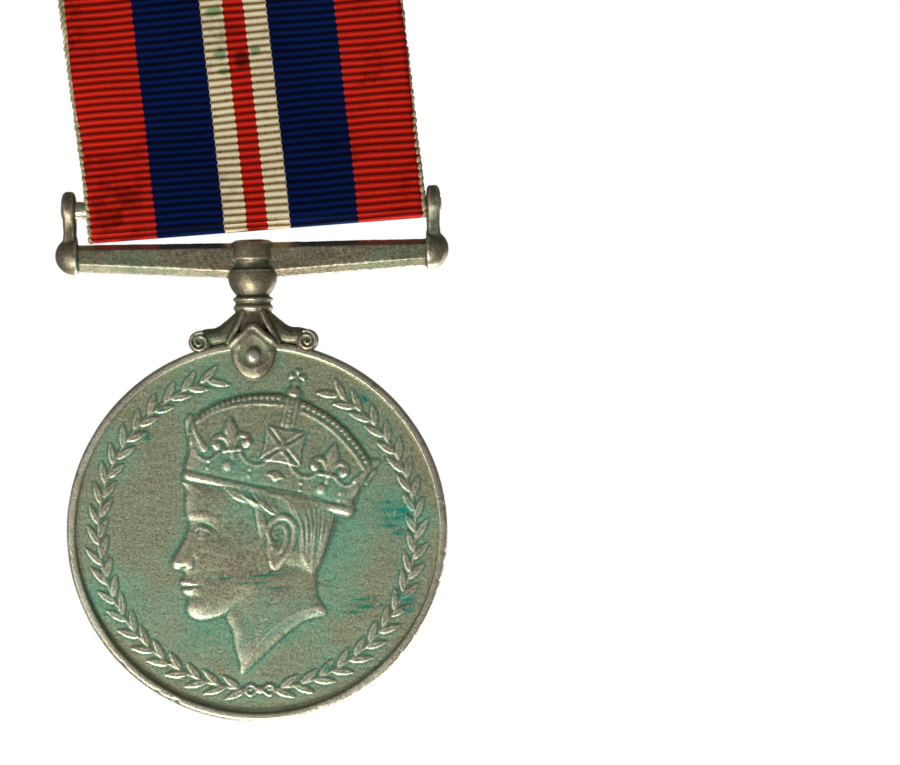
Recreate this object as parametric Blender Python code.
"""Service medal: a struck disc in a riveted claw, a straight-bar suspender with its
ribbon rod, a ribbon looped over the rod, and the pin brooch that wears it.

Metres, +Z up, obverse towards -Y.  The origin is on the brooch pin, straight above the
middle of the ribbon rod.  Heights of the medal's own pieces are measured from the centre
of the disc; heights of the ribbon and the brooch are measured along the ribbon from the rod.
"""
import math

import bmesh
import bpy
from mathutils import Vector

MM = 0.001

# ---- driving dimensions -------------------------------------------------------------
DISC_RADIUS = 18.0 * MM
RIM_WIDTH = 1.05 * MM
RIM_HALF_THICKNESS = 1.55 * MM
FIELD_HALF_THICKNESS = 0.95 * MM
RELIEF_HEIGHT = 0.45 * MM

ROD_HEIGHT = 30.70 * MM          # rod axis above the disc's centre
ROD_RADIUS = 0.80 * MM
ROD_HALF_LENGTH = 17.86 * MM
ROD_PEEN = 0.20 * MM

BAR_HALF_LENGTH = 16.5 * MM
BAR_TOP = (27.32 * MM, 27.36 * MM)          # middle, ends
BAR_BOTTOM = (23.90 * MM, 24.86 * MM)
BAR_HALF_DEPTH = (1.00 * MM, 1.10 * MM)
BAR_TOP_BEVEL = 0.55 * MM
BAR_LOW_BEVEL = (0.66 * MM, 0.72 * MM)

DOME_RADIUS = 1.81 * MM
DOME_LENGTH = 2.10 * MM
DOME_HEIGHT = 26.38 * MM

POST_INNER = 16.58 * MM
POST_WIDTH = 1.24 * MM
POST_EYE_RADIUS = 1.75 * MM
POST_NECK_HALF = 1.00 * MM

TOE_HALF_WIDTH = 2.14 * MM
TOE_TOP = 19.25 * MM
TOE_SHOULDER = 17.50 * MM
TOE_WIDEST = 17.10 * MM
TOE_TIP = 14.27 * MM
TOE_HALF_DEPTH = 2.40 * MM
SHOULDER_HALF_DEPTH = 1.70 * MM
SCROLL_CENTRE = (5.02 * MM, 18.02 * MM)
SCROLL_RADIUS = 1.00 * MM
SCROLL_HALF_DEPTH = 1.15 * MM

RIVET_HEIGHT = 16.60 * MM
RIVET_RADIUS = 0.45 * MM
RIVET_HEAD_RADIUS = 0.70 * MM
RIVET_HEAD_HEIGHT = 0.35 * MM

RIBBON_HALF_WIDTH = 15.85 * MM
RIBBON_THICKNESS = 0.38 * MM
RIBBON_LEAN = math.radians(4.3)             # the ribbon's top leans to the left
LOOP_HALF_GAP = 0.92 * MM                   # clear space for the rod, front to back
LOOP_DROP = 2.27 * MM                       # rod axis to the bottom of the fold
FOLD_SKEW = math.tan(math.radians(0.9))     # the fold is out of square, lower to the right,
FOLD_TOP = 2.0 * MM                         # below this height over the rod's axis
LAYER_HALF_GAP = 0.15 * MM                  # between the two layers, above the rod

BROOCH_HEIGHT = 29.0 * MM                   # rod axis to the brooch's middle
BROOCH_HALF_HEIGHT = 3.0 * MM
BROOCH_THICKNESS = 0.90 * MM
EAR_INNER = 16.25 * MM
EAR_BACK = 3.40 * MM
PIN_SETBACK = 2.30 * MM                     # pin axis behind the ribbon's middle plane
PIN_RADIUS = 0.45 * MM
PIN_LENGTH = 30.0 * MM
PIN_POINT = 5.0 * MM
HINGE_X = -14.30 * MM
EYE_RADIUS = 1.00 * MM
EYE_HALF_HEIGHT = 0.60 * MM
LUG_HALF_HEIGHT = 1.40 * MM
LUG_THICKNESS = 0.70 * MM
HINGE_RIVET_RADIUS = 0.40 * MM
CATCH_FROM = 12.60 * MM
CATCH_HALF_HEIGHT = 1.30 * MM

SEAT_GAP = 0.15 * MM                        # between pieces that touch or are soldered
RUNNING_GAP = 0.06 * MM                     # between a shaft and its hole
BACK_OF_LAYERS = 1.20 * MM                  # first free plane behind the ribbon

ROUND_DISC = 96
ROUND_BOSS = 32
ROUND_SMALL = 20

# colour, roughness and metallic value of each finish
FINISHES = {
    "nickel_disc": ((0.30, 0.30, 0.24), 0.42, 1.0),
    "nickel_suspender": ((0.33, 0.30, 0.25), 0.45, 1.0),
    "rivet": ((0.40, 0.36, 0.30), 0.35, 1.0),
    "rod": ((0.42, 0.40, 0.33), 0.38, 1.0),
    "ribbon": ((0.52, 0.03, 0.02), 0.85, 0.0),
    "brooch": ((0.45, 0.42, 0.36), 0.35, 1.0),
    "pin": ((0.50, 0.49, 0.46), 0.28, 1.0),
}


# ---- modelling helpers --------------------------------------------------------------
def finish(name):
    material = bpy.data.materials.get(name)
    if material:
        return material
    material = bpy.data.materials.new(name)
    material.use_nodes = True
    colour, roughness, metallic = FINISHES[name]
    shader = material.node_tree.nodes["Principled BSDF"]
    shader.inputs["Base Color"].default_value = (*colour, 1.0)
    shader.inputs["Roughness"].default_value = roughness
    shader.inputs["Metallic"].default_value = metallic
    return material


def add_object(name, bm, parent, material=None, location=(0.0, 0.0, 0.0)):
    bmesh.ops.recalc_face_normals(bm, faces=bm.faces)
    mesh = bpy.data.meshes.new(name)
    bm.to_mesh(mesh)
    bm.free()
    mesh.shade_smooth()
    mesh.set_sharp_from_angle(angle=math.radians(32))
    obj = bpy.data.objects.new(name, mesh)
    bpy.context.scene.collection.objects.link(obj)
    obj.parent = parent
    obj.location = location
    if material:
        mesh.materials.append(finish(material))
    else:
        obj.hide_render = True
        obj.display_type = "WIRE"
    return obj


def add_empty(name, location, rotation=(0.0, 0.0, 0.0), parent=None):
    empty = bpy.data.objects.new(name, None)
    bpy.context.scene.collection.objects.link(empty)
    empty.location = location
    empty.rotation_euler = rotation
    empty.parent = parent
    empty.empty_display_size = 2 * MM
    return empty


def combine(target, operation, tools):
    for tool in tools:
        modifier = target.modifiers.new(f"{operation.lower()}_{tool.name}", "BOOLEAN")
        modifier.operation = operation
        modifier.solver = "EXACT"
        modifier.object = tool


def turned(profile, axis, steps, centre=(0.0, 0.0, 0.0)):
    """Spin a profile of (radius, station) pairs once round an axis."""
    along = Vector(axis)
    outward = Vector((0.0, 0.0, 1.0)) if abs(along.z) < 0.5 else Vector((1.0, 0.0, 0.0))
    middle = Vector(centre)
    bm = bmesh.new()
    ring = [bm.verts.new(middle + outward * r + along * s) for r, s in profile]
    edges = [bm.edges.new(pair) for pair in zip(ring, ring[1:])]
    bmesh.ops.spin(bm, geom=ring + edges, cent=middle, axis=along,
                   angle=2 * math.pi, steps=steps)
    bmesh.ops.remove_doubles(bm, verts=bm.verts, dist=0.001 * MM)
    return bm


def rod_bm(radius, start, end, axis, steps, centre=(0.0, 0.0, 0.0)):
    return turned([(0.0, start), (radius, start), (radius, end), (0.0, end)],
                  axis, steps, centre)


def prism(outline, start, end, axis):
    """Extrude a flat outline along an axis: outlines are (x, z) for Y, (y, z) for X
    and (x, y) for Z."""
    place = {
        "X": lambda a, b: Vector((start, a, b)),
        "Y": lambda a, b: Vector((a, start, b)),
        "Z": lambda a, b: Vector((a, b, start)),
    }[axis]
    step = Vector([end - start if axis == letter else 0.0 for letter in "XYZ"])
    bm = bmesh.new()
    face = bm.faces.new([bm.verts.new(place(a, b)) for a, b in outline])
    grown = bmesh.ops.extrude_face_region(bm, geom=[face])
    tops = [item for item in grown["geom"] if isinstance(item, bmesh.types.BMVert)]
    bmesh.ops.translate(bm, verts=tops, vec=step)
    return bm


def arc(centre, radius, start, end, steps, squash=1.0):
    """Points from one angle to another, in degrees, on a circle or an upright ellipse."""
    points = []
    for i in range(steps + 1):
        angle = math.radians(start + (end - start) * i / steps)
        points.append((centre[0] + radius * math.cos(angle),
                       centre[1] + radius * squash * math.sin(angle)))
    return points


def smooth_outline(points, steps):
    """A closed Catmull-Rom curve through points given in millimetres."""
    count = len(points)
    curve = []
    for i in range(count):
        p0, p1, p2, p3 = (points[(i + k - 1) % count] for k in range(4))
        for step in range(steps):
            t = step / steps
            curve.append(tuple(
                MM * 0.5 * (2 * b + (c - a) * t + (2 * a - 5 * b + 4 * c - d) * t * t
                            + (3 * b - a - 3 * c + d) * t ** 3)
                for a, b, c, d in zip(p0, p1, p2, p3)))
    return curve


def bevel(obj, width, segments=2, angle=40):
    modifier = obj.modifiers.new("bevel", "BEVEL")
    modifier.width = width
    modifier.segments = segments
    modifier.limit_method = "ANGLE"
    modifier.angle_limit = math.radians(angle)


# ---- the disc -----------------------------------------------------------------------
# Outlines of the relief, in millimetres from the disc's centre, as each face is seen.
HEAD = [(-6.2, 5.6), (-6.5, 3.2), (-6.6, 1.7), (-6.2, 0.7), (-7.2, -1.1), (-8.2, -2.9),
        (-7.7, -3.5), (-6.8, -3.7), (-7.1, -4.7), (-6.9, -5.5), (-6.4, -6.1), (-6.8, -7.1),
        (-6.0, -8.0), (-4.4, -8.2), (-2.7, -7.7), (-2.5, -8.9), (-2.5, -11.1), (-1.5, -13.4),
        (1.7, -10.5), (6.3, -8.0), (5.6, -5.8), (6.0, -3.0), (7.2, -0.1), (7.3, 2.4),
        (3.7, 4.8)]
CROWN = [(-6.5, 4.8), (-7.0, 6.9), (-6.3, 10.1), (-4.5, 11.9), (-1.2, 13.1), (2.7, 13.4),
         (3.9, 15.0), (4.7, 13.0), (7.8, 11.3), (10.6, 8.3), (11.2, 5.6), (9.8, 3.3),
         (8.6, 1.3), (1.0, 3.5)]
LION = [(-11.8, 10.7), (-11.0, 12.4), (-9.0, 13.3), (-6.8, 13.7), (-4.2, 12.2),
        (-2.2, 9.2), (-0.3, 7.2), (5.3, 6.1), (9.7, 5.1), (11.5, 2.1), (11.9, -1.0),
        (13.0, -3.6), (12.0, -6.2), (10.9, -7.6), (9.2, -7.4), (10.5, -3.9),
        (8.6, -1.2), (6.5, 0.1), (3.0, 0.9), (-0.4, -0.2), (-1.0, -4.2), (-1.7, -6.0),
        (-3.4, -5.9), (-3.1, -3.6), (-3.5, -0.6), (-7.0, -1.6), (-9.9, -3.3),
        (-12.0, -3.3), (-11.3, -1.9), (-8.2, 0.4), (-6.7, 2.8), (-7.0, 6.0),
        (-8.2, 8.2), (-10.3, 8.5), (-10.5, 9.8)]
DRAGON = [(-12.2, -5.2), (-9.6, -4.2), (-7.7, -5.2), (-6.0, -6.9), (-2.2, -7.3),
          (2.5, -6.4), (7.0, -6.8), (10.2, -8.8), (12.2, -9.2), (13.5, -6.5),
          (13.9, -3.6), (14.7, -3.8), (14.4, -7.2), (12.8, -10.4), (9.6, -12.4),
          (5.8, -13.9), (-0.8, -14.4), (-5.2, -14.3), (-8.6, -13.1), (-10.7, -11.1),
          (-11.6, -8.4)]


def make_disc(parent, place):
    rim_inner = DISC_RADIUS - RIM_WIDTH
    half = [(0.0, FIELD_HALF_THICKNESS),
            (rim_inner - 0.2 * MM, FIELD_HALF_THICKNESS),
            (rim_inner, RIM_HALF_THICKNESS - 0.1 * MM),
            (rim_inner + 0.2 * MM, RIM_HALF_THICKNESS),
            (DISC_RADIUS - 0.3 * MM, RIM_HALF_THICKNESS),
            (DISC_RADIUS, RIM_HALF_THICKNESS - 0.3 * MM)]
    profile = half + [(radius, -station) for radius, station in reversed(half)]
    disc = add_object("disc", turned(profile, (0, 1, 0), ROUND_DISC), parent,
                      "nickel_disc", place)
    root_of_relief = FIELD_HALF_THICKNESS / 2
    top = FIELD_HALF_THICKNESS + RELIEF_HEIGHT
    reliefs = []
    for name, outline, share, facing in (("head", HEAD, 0.90, 1), ("crown", CROWN, 1.0, 1),
                                         ("lion", LION, 1.0, -1), ("dragon", DRAGON, 0.85, -1)):
        height = FIELD_HALF_THICKNESS + RELIEF_HEIGHT * share if share < 1 else top
        points = [(x * facing, z) for x, z in smooth_outline(outline, 2)]
        reliefs.append(add_object(f"{name}_relief",
                                  prism(points, -facing * root_of_relief, -facing * height, "Y"),
                                  parent, location=place))
    combine(disc, "UNION", reliefs)
    bore = rod_bm(RIVET_RADIUS + RUNNING_GAP, -3 * MM, 3 * MM, (0, 1, 0), ROUND_SMALL,
                  (0, 0, RIVET_HEIGHT))
    combine(disc, "DIFFERENCE", [add_object("disc_rivet_bore", bore, parent, location=place)])
    return disc


# ---- the suspender ------------------------------------------------------------------
def bar_bm():
    """The straight bar: tallest in the middle, with a narrow bevel above and a broad one
    below, lofted through three sections."""
    bm = bmesh.new()
    loops = []
    reach = BAR_HALF_LENGTH + 0.3 * MM
    for x, end in ((-reach, 1), (0.0, 0), (reach, 1)):
        top, low = BAR_TOP[end], BAR_BOTTOM[end]
        depth, chamfer = BAR_HALF_DEPTH[end], BAR_LOW_BEVEL[end]
        side = [(depth - BAR_TOP_BEVEL, top), (depth, top - BAR_TOP_BEVEL),
                (depth, low + chamfer), (depth - 0.8 * chamfer, low)]
        section = side + [(-y, z) for y, z in reversed(side)]
        verts = [bm.verts.new((x, y, z)) for y, z in section]
        loops.append([bm.edges.new((verts[i - 1], verts[i])) for i in range(len(verts))])
    bmesh.ops.bridge_loops(bm, edges=loops[0] + loops[1])
    bmesh.ops.bridge_loops(bm, edges=loops[1] + loops[2])
    bmesh.ops.holes_fill(bm, edges=loops[0] + loops[2], sides=8)
    return bm


def boss_bm():
    """The turned column in the middle, from the rounded cap down to the flared neck."""
    profile = [(0.0, 27.62), (1.20, 27.60), (1.75, 27.45), (2.00, 27.15), (2.04, 26.60),
               (2.04, 25.72), (1.76, 25.66), (1.76, 24.80), (2.28, 24.76), (2.33, 24.20)]
    profile += [(r, z) for r, z in arc((0.0, 24.20), 2.33, -12, -52, 4, squash=0.98)]
    profile += [(1.50, 22.18), (1.86, 22.06), (1.89, 21.92), (1.86, 21.78), (1.66, 21.70),
                (1.66, 21.42), (1.84, 21.30), (1.86, 21.15), (1.80, 21.00), (1.66, 20.92),
                (1.66, 20.60), (1.75, 20.20), (1.95, 19.75), (1.95, 19.10), (0.0, 19.10)]
    return turned([(r * MM, z * MM) for r, z in profile], (0, 0, 1), ROUND_BOSS)


def shoulders_bm():
    """The two scroll arms and the body between them, seen from the front."""
    scroll_x, scroll_z = (value / MM for value in SCROLL_CENTRE)
    radius = SCROLL_RADIUS / MM
    right = [(1.50, 20.40), (1.80, 19.80), (2.45, 19.36), (3.30, 19.12), (4.30, 19.04)]
    right += arc((scroll_x, scroll_z), radius, 90, -120, 9)
    right += [(4.05, 17.75), (3.40, 17.85), (2.60, 17.75)]
    left = [(-x, z) for x, z in reversed(right)]
    return prism([(x * MM, z * MM) for x, z in right + left],
                 -SCROLL_HALF_DEPTH, SCROLL_HALF_DEPTH, "Y")


def toes_bm():
    """The claw's toe, pointed above and rounded below, through front and back."""
    tip_arc = arc((0.0, TOE_WIDEST), TOE_HALF_WIDTH, 0, -180, 12,
                  squash=(TOE_WIDEST - TOE_TIP) / TOE_HALF_WIDTH)
    outline = [(0.0, TOE_TOP), (TOE_HALF_WIDTH - 0.1 * MM, TOE_SHOULDER)] + tip_arc
    outline.append((-TOE_HALF_WIDTH + 0.1 * MM, TOE_SHOULDER))
    return prism(outline, -TOE_HALF_DEPTH, TOE_HALF_DEPTH, "Y")


def post_bm(side):
    """One end post: a neck that widens into a round eye for the rod, seen from the end."""
    neck = POST_NECK_HALF
    foot = DOME_HEIGHT + 0.5 * MM
    outline = [(-neck - 0.2 * MM, foot), (-neck, ROD_HEIGHT - 2.4 * MM)]
    outline += arc((0.0, ROD_HEIGHT), POST_EYE_RADIUS, 215, -35, 14)
    outline += [(neck, ROD_HEIGHT - 2.4 * MM), (neck + 0.2 * MM, foot)]
    return prism(outline, side * POST_INNER, side * (POST_INNER + POST_WIDTH), "X")


def dome_bm(side):
    start = side * BAR_HALF_LENGTH
    profile = [(0.0, start), (DOME_RADIUS, start)]
    for i in range(1, 8):
        angle = math.radians(90 * i / 8)
        profile.append((DOME_RADIUS * math.cos(angle),
                        start + side * DOME_LENGTH * math.sin(angle)))
    profile.append((0.0, start + side * DOME_LENGTH))
    return turned(profile, (1, 0, 0), ROUND_BOSS - 8, (0, 0, DOME_HEIGHT))


def make_suspender(parent, place):
    suspender = add_object("suspender", bar_bm(), parent, "nickel_suspender", place)
    shoulders = add_object("shoulders", shoulders_bm(), parent, location=place)
    bevel(shoulders, 0.25 * MM)
    toes = add_object("toes", toes_bm(), parent, location=place)
    bevel(toes, 0.35 * MM)
    solids = [add_object("boss", boss_bm(), parent, location=place), shoulders, toes]
    for side, word in ((-1, "left"), (1, "right")):
        solids.append(add_object(f"dome_{word}", dome_bm(side), parent, location=place))
        post = add_object(f"post_{word}", post_bm(side), parent, location=place)
        bevel(post, 0.25 * MM)
        solids.append(post)
    combine(suspender, "UNION", solids)

    slot = rod_bm(DISC_RADIUS + SEAT_GAP, -RIM_HALF_THICKNESS - SEAT_GAP,
                  RIM_HALF_THICKNESS + SEAT_GAP, (0, 1, 0), ROUND_DISC)
    rivet_bore = rod_bm(RIVET_RADIUS + RUNNING_GAP, -4 * MM, 4 * MM, (0, 1, 0),
                        ROUND_SMALL, (0, 0, RIVET_HEIGHT))
    rod_bore = rod_bm(ROD_RADIUS + RUNNING_GAP, -20 * MM, 20 * MM, (1, 0, 0),
                      ROUND_SMALL, (0, 0, ROD_HEIGHT))
    cutters = [add_object("disc_slot", slot, parent, location=place),
               add_object("claw_rivet_bore", rivet_bore, parent, location=place),
               add_object("rod_bore", rod_bore, parent, location=place)]
    combine(suspender, "DIFFERENCE", cutters)
    return suspender


def make_claw_rivet(parent, place):
    """A rivet with a low dome on each side of the claw."""
    seat = TOE_HALF_DEPTH + RUNNING_GAP
    half = [(RIVET_RADIUS, seat), (RIVET_HEAD_RADIUS, seat),
            (RIVET_HEAD_RADIUS * 0.85, seat + RIVET_HEAD_HEIGHT * 0.6),
            (RIVET_HEAD_RADIUS * 0.45, seat + RIVET_HEAD_HEIGHT * 0.92),
            (0.0, seat + RIVET_HEAD_HEIGHT)]
    profile = [(radius, -station) for radius, station in reversed(half)] + half
    add_object("claw_rivet", turned(profile, (0, 1, 0), ROUND_SMALL, (0, 0, RIVET_HEIGHT)),
               parent, "rivet", place)


def make_rod(parent):
    """The ribbon rod, its ends peened over outside the posts."""
    half = [(ROD_RADIUS, ROD_HALF_LENGTH), (ROD_RADIUS * 0.8, ROD_HALF_LENGTH + ROD_PEEN * 0.7),
            (0.0, ROD_HALF_LENGTH + ROD_PEEN)]
    profile = [(radius, -station) for radius, station in reversed(half)] + half
    add_object("ribbon_rod", turned(profile, (1, 0, 0), ROUND_SMALL), parent, "rod")


# ---- the ribbon ---------------------------------------------------------------------
def ribbon_path():
    """The middle of the cloth's thickness, as (y, z), once round the rod and the brooch."""
    half = RIBBON_THICKNESS / 2
    wide = LOOP_HALF_GAP + half
    close = LAYER_HALF_GAP + half
    over = BROOCH_THICKNESS / 2 + 0.12 * MM + half
    bottom_centre = half + LOOP_HALF_GAP - LOOP_DROP + half
    top_centre = BROOCH_HEIGHT + BROOCH_HALF_HEIGHT - over + 0.12 * MM + half
    front = [(-wide, 1.4 * MM), (-close, 6.0 * MM), (-close, BROOCH_HEIGHT - 6.0 * MM),
             (-over, BROOCH_HEIGHT - 3.6 * MM)]
    path = arc((0.0, bottom_centre), wide, 0, -180, 12)
    path += front
    path += arc((0.0, top_centre + over * 0.5), over, 180, 0, 10)
    path += [(-y, z) for y, z in reversed(front)]
    return path


def make_ribbon(parent):
    bm = bmesh.new()
    ring = [bm.verts.new((-RIBBON_HALF_WIDTH, y, z)) for y, z in ribbon_path()]
    edges = [bm.edges.new((ring[i - 1], ring[i])) for i in range(len(ring))]
    grown = bmesh.ops.extrude_edge_only(bm, edges=edges)
    moved = [item for item in grown["geom"] if isinstance(item, bmesh.types.BMVert)]
    bmesh.ops.translate(bm, verts=moved, vec=(2 * RIBBON_HALF_WIDTH, 0, 0))
    for vert in bm.verts:
        if vert.co.z < FOLD_TOP:
            vert.co.z -= vert.co.x * FOLD_SKEW
    ribbon = add_object("ribbon", bm, parent, "ribbon")
    cloth = ribbon.modifiers.new("cloth", "SOLIDIFY")
    cloth.thickness = RIBBON_THICKNESS
    cloth.offset = 0.0
    cloth.use_even_offset = True


# ---- the brooch ---------------------------------------------------------------------
def make_brooch(parent):
    """A strip bent back at both ends, seen from above, with the ribbon over its middle."""
    front, back = -BROOCH_THICKNESS / 2, BROOCH_THICKNESS / 2
    inner, outer = EAR_INNER, EAR_INNER + BROOCH_THICKNESS
    bend = 0.8 * MM
    right = arc((outer - bend, front + bend), bend, -90, 0, 4)
    right += [(outer, EAR_BACK), (inner, EAR_BACK), (inner, back)]
    left = [(-x, y) for x, y in reversed(right)]
    add_object("brooch_bar", prism(right + left, -BROOCH_HALF_HEIGHT, BROOCH_HALF_HEIGHT, "Z"),
               parent, "brooch", (0, 0, BROOCH_HEIGHT))


def make_hinge(parent):
    """The fork soldered beside the left ear, and the upright rivet through it."""
    wall = -EAR_INNER + SEAT_GAP
    tip = HINGE_X + EYE_RADIUS
    low, high = LUG_HALF_HEIGHT - LUG_THICKNESS, LUG_HALF_HEIGHT
    outline = [(wall, -high), (tip, -high), (tip, -low), (wall + LUG_THICKNESS, -low),
               (wall + LUG_THICKNESS, low), (tip, low), (tip, high), (wall, high)]
    lug = add_object("hinge_lug", prism(outline, BACK_OF_LAYERS, EAR_BACK - 0.1 * MM, "Y"),
                     parent, "brooch", (0, 0, BROOCH_HEIGHT))
    axis_point = (HINGE_X, PIN_SETBACK, 0)
    bore = rod_bm(HINGE_RIVET_RADIUS + RUNNING_GAP, -3 * MM, 3 * MM, (0, 0, 1),
                  ROUND_SMALL, axis_point)
    combine(lug, "DIFFERENCE",
            [add_object("lug_bore", bore, parent, location=(0, 0, BROOCH_HEIGHT))])
    seat = LUG_HALF_HEIGHT + RUNNING_GAP
    half = [(HINGE_RIVET_RADIUS, seat), (0.75 * MM, seat), (0.62 * MM, seat + 0.25 * MM),
            (0.0, seat + 0.38 * MM)]
    profile = [(radius, -station) for radius, station in reversed(half)] + half
    add_object("hinge_rivet", turned(profile, (0, 0, 1), ROUND_SMALL, axis_point), parent,
               "brooch", (0, 0, BROOCH_HEIGHT))


def make_pin(parent):
    """The pin, with its origin on the hinge: an eye round the rivet and a pointed wire."""
    wire = [(0.0, 0.6 * MM), (PIN_RADIUS, 0.6 * MM), (PIN_RADIUS, PIN_LENGTH - PIN_POINT),
            (PIN_RADIUS * 0.6, PIN_LENGTH - 0.3 * PIN_POINT), (0.0, PIN_LENGTH)]
    pin = add_object("brooch_pin",
                     rod_bm(EYE_RADIUS, -EYE_HALF_HEIGHT, EYE_HALF_HEIGHT, (0, 0, 1), ROUND_SMALL),
                     parent, "pin")
    shaft = add_object("pin_wire", turned(wire, (1, 0, 0), 12), parent)
    bore = rod_bm(HINGE_RIVET_RADIUS + RUNNING_GAP, -2 * MM, 2 * MM, (0, 0, 1), ROUND_SMALL)
    combine(pin, "UNION", [shaft])
    combine(pin, "DIFFERENCE", [add_object("pin_bore", bore, parent)])


def make_catch(parent):
    """The channel soldered beside the right ear, its mouth just wider than the pin."""
    high = CATCH_HALF_HEIGHT
    inside = high - 0.5 * MM
    mouth = PIN_RADIUS + 0.12 * MM
    lip = EAR_BACK - 0.35 * MM
    back = EAR_BACK - 0.1 * MM
    upper = [(BACK_OF_LAYERS, high), (back, high), (back, mouth), (lip, mouth),
             (lip - 0.25 * MM, inside), (BACK_OF_LAYERS + 0.45 * MM, inside)]
    lower = [(y, -z) for y, z in reversed(upper)]
    add_object("catch", prism(upper + lower, CATCH_FROM, EAR_INNER - SEAT_GAP, "X"), parent,
               "brooch", (0, 0, BROOCH_HEIGHT))


def main():
    for obj in list(bpy.data.objects):
        bpy.data.objects.remove(obj, do_unlink=True)
    pivot_point = (0.0, -PIN_SETBACK, -BROOCH_HEIGHT / math.cos(RIBBON_LEAN))

    medal = add_empty("rod_pivot", pivot_point)
    disc_centre = (0.0, 0.0, -ROD_HEIGHT)
    make_disc(medal, disc_centre)
    make_suspender(medal, disc_centre)
    make_claw_rivet(medal, disc_centre)
    make_rod(medal)

    leaning = add_empty("ribbon_frame", pivot_point, (0.0, -RIBBON_LEAN, 0.0))
    make_ribbon(leaning)
    make_brooch(leaning)
    make_hinge(leaning)
    make_catch(leaning)
    hinge = add_empty("pin_hinge", (HINGE_X, PIN_SETBACK, BROOCH_HEIGHT), parent=leaning)
    make_pin(hinge)


main()
